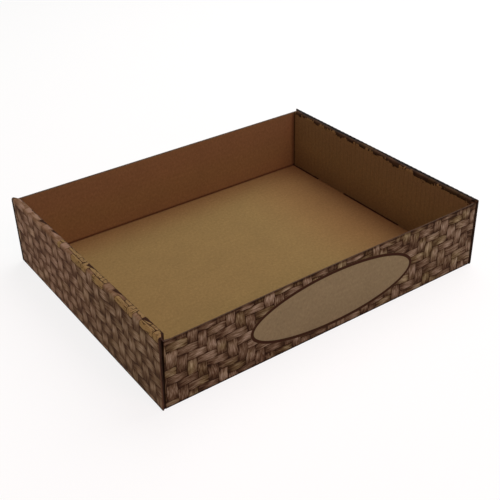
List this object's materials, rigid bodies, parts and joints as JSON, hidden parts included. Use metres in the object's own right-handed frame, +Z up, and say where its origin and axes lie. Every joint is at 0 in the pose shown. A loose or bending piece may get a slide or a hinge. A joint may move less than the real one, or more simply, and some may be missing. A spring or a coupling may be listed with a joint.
{
  "type": "folded cardboard tray box",
  "caption": "Low open tray folded from one corrugated blank, with rolled double ends locked by tabs in the floor and single-ply long walls.",
  "frame": {"origin": "middle of the underside, on the surface that the tray rests on", "axes": "+X along the long walls, +Y across the tray from the front wall to the back wall, +Z up"},
  "size_m": [0.356, 0.279, 0.073],
  "materials": {
    "kraft_board": "matt brown kraft board, printed outside with a basket weave pattern"
  },
  "bodies": {
    "root": {"folded_tray": "kraft_board"}
  },
  "joints": []
}
